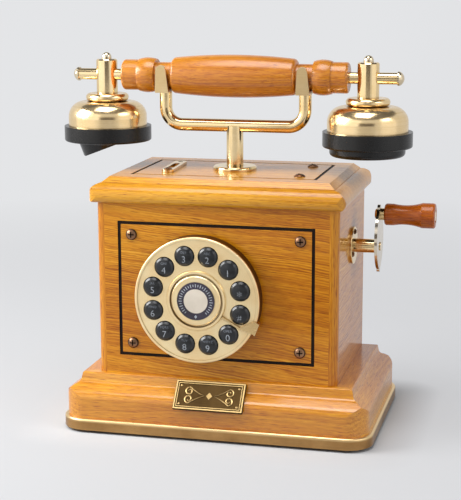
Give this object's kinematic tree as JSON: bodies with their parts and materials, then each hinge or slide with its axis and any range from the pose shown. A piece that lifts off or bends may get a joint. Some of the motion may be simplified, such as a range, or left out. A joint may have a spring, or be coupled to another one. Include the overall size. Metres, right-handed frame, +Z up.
{
  "type": "desk telephone",
  "caption": "Wooden-box desk telephone with a dial-shaped push-button keypad, a turned handset on a sprung brass cradle and a side crank.",
  "frame": {"origin": "centre of the foot pad's underside, on the desk", "axes": "+Z up; the dial faces -Y; the crank is on the +X side"},
  "size_m": [0.2689, 0.1495, 0.2608],
  "materials": {
    "oak": "clear gloss lacquer over golden oak",
    "oak_handle": "clear gloss lacquer, turned",
    "red_wood": "dark red-brown gloss lacquer, turned",
    "polished_brass": "polished",
    "satin_brass": "satin",
    "trim_metal": "antique satin",
    "nameplate_metal": "dark antique",
    "arm_steel": "polished nickel",
    "bronze_screw": "dark bronze",
    "steel": "zinc plated",
    "plate_metal": "black powder coat",
    "black_cap": "half gloss",
    "black_button": "gloss",
    "black_inlay": "matte",
    "label_black": "matte print",
    "label_cream": "half gloss",
    "rubber": "matte",
    "board": "printed board",
    "black_plastic": "matte"
  },
  "bodies": {
    "case": {"base_pad": "rubber", "bottom_plate": "plate_metal", "bottom_screws": "steel", "base_trim": "trim_metal", "plinth": "oak", "front_panel": "oak", "left_side": "oak", "right_side": "oak", "back_panel": "oak", "corner_beads": "oak", "lid": "oak", "front_inlay": "black_inlay", "lid_inlay": "black_inlay", "case_screws": "bronze_screw", "small_screws": "bronze_screw", "nameplate": "nameplate_metal", "dial_plate": "satin_brass", "dial_centre": "satin_brass", "label_ring": "label_black", "label_disc": "label_cream", "finger_stop": "satin_brass", "keypad_mat": "rubber", "keypad_board": "board", "main_board": "board", "ringer_speaker": "black_plastic", "rear_jacks": "black_plastic", "cradle_flange": "polished_brass", "hook_spring": "steel", "hook_bracket": "steel", "hook_switch": "black_plastic", "crank_flange": "polished_brass"},
    "button_star": {"button_star": "black_button"},
    "button_1": {"button_1": "black_button"},
    "button_2": {"button_2": "black_button"},
    "button_3": {"button_3": "black_button"},
    "button_4": {"button_4": "black_button"},
    "button_5": {"button_5": "black_button"},
    "button_6": {"button_6": "black_button"},
    "button_7": {"button_7": "black_button"},
    "button_8": {"button_8": "black_button"},
    "button_9": {"button_9": "black_button"},
    "button_0": {"button_0": "black_button"},
    "button_hash": {"button_hash": "black_button"},
    "cradle": {"cradle": "polished_brass", "cradle_saddles": "polished_brass", "post_clip": "steel"},
    "handset": {"handset_handle": "oak_handle", "handset_rod": "polished_brass", "dome_nuts": "polished_brass", "capsule_pillars": "polished_brass", "handset_bells": "polished_brass", "ear_cap": "black_cap", "mouth_cap": "black_cap", "handset_capsules": "black_plastic"},
    "crank": {"crank_shaft": "polished_brass", "crank_arm": "arm_steel", "crank_pin": "polished_brass"},
    "crank_grip": {"crank_handle": "red_wood"},
    "lever": {"ringer_lever": "polished_brass"}
  },
  "joints": [
    {"name": "button_star_press", "type": "slide", "parent": "case", "child": "button_star", "axis": [0, 1, 0], "range_m": [0, 0.0018], "stiffness_N_per_m": 250, "springref_m": -0.0008},
    {"name": "button_1_press", "type": "slide", "parent": "case", "child": "button_1", "axis": [0, 1, 0], "range_m": [0, 0.0018], "stiffness_N_per_m": 250, "springref_m": -0.0008},
    {"name": "button_2_press", "type": "slide", "parent": "case", "child": "button_2", "axis": [0, 1, 0], "range_m": [0, 0.0018], "stiffness_N_per_m": 250, "springref_m": -0.0008},
    {"name": "button_3_press", "type": "slide", "parent": "case", "child": "button_3", "axis": [0, 1, 0], "range_m": [0, 0.0018], "stiffness_N_per_m": 250, "springref_m": -0.0008},
    {"name": "button_4_press", "type": "slide", "parent": "case", "child": "button_4", "axis": [0, 1, 0], "range_m": [0, 0.0018], "stiffness_N_per_m": 250, "springref_m": -0.0008},
    {"name": "button_5_press", "type": "slide", "parent": "case", "child": "button_5", "axis": [0, 1, 0], "range_m": [0, 0.0018], "stiffness_N_per_m": 250, "springref_m": -0.0008},
    {"name": "button_6_press", "type": "slide", "parent": "case", "child": "button_6", "axis": [0, 1, 0], "range_m": [0, 0.0018], "stiffness_N_per_m": 250, "springref_m": -0.0008},
    {"name": "button_7_press", "type": "slide", "parent": "case", "child": "button_7", "axis": [0, 1, 0], "range_m": [0, 0.0018], "stiffness_N_per_m": 250, "springref_m": -0.0008},
    {"name": "button_8_press", "type": "slide", "parent": "case", "child": "button_8", "axis": [0, 1, 0], "range_m": [0, 0.0018], "stiffness_N_per_m": 250, "springref_m": -0.0008},
    {"name": "button_9_press", "type": "slide", "parent": "case", "child": "button_9", "axis": [0, 1, 0], "range_m": [0, 0.0018], "stiffness_N_per_m": 250, "springref_m": -0.0008},
    {"name": "button_0_press", "type": "slide", "parent": "case", "child": "button_0", "axis": [0, 1, 0], "range_m": [0, 0.0018], "stiffness_N_per_m": 250, "springref_m": -0.0008},
    {"name": "button_hash_press", "type": "slide", "parent": "case", "child": "button_hash", "axis": [0, 1, 0], "range_m": [0, 0.0018], "stiffness_N_per_m": 250, "springref_m": -0.0008},
    {"name": "hook_rise", "type": "slide", "parent": "case", "child": "cradle", "axis": [0, 0, 1], "range_m": [0, 0.006], "stiffness_N_per_m": 200, "springref_m": 0.022, "deforming": ["hook_spring"]},
    {"name": "handset_lift", "type": "slide", "parent": "cradle", "child": "handset", "axis": [0, 0, 1], "range_m": [0, 0.15]},
    {"name": "crank_turn", "type": "hinge", "parent": "case", "child": "crank", "pos_m": [0.085, 0.0012, 0.1278], "axis": [1, 0, 0], "continuous": true},
    {"name": "grip_spin", "type": "hinge", "parent": "crank", "child": "crank_grip", "pos_m": [0.1078, 0.0012, 0.1508], "axis": [1, 0, 0], "continuous": true},
    {"name": "lever_swing", "type": "hinge", "parent": "case", "child": "lever", "pos_m": [-0.043, -0.0213, 0.179], "axis": [0, 0, 1], "range_deg": [-30, 30]}
  ]
}
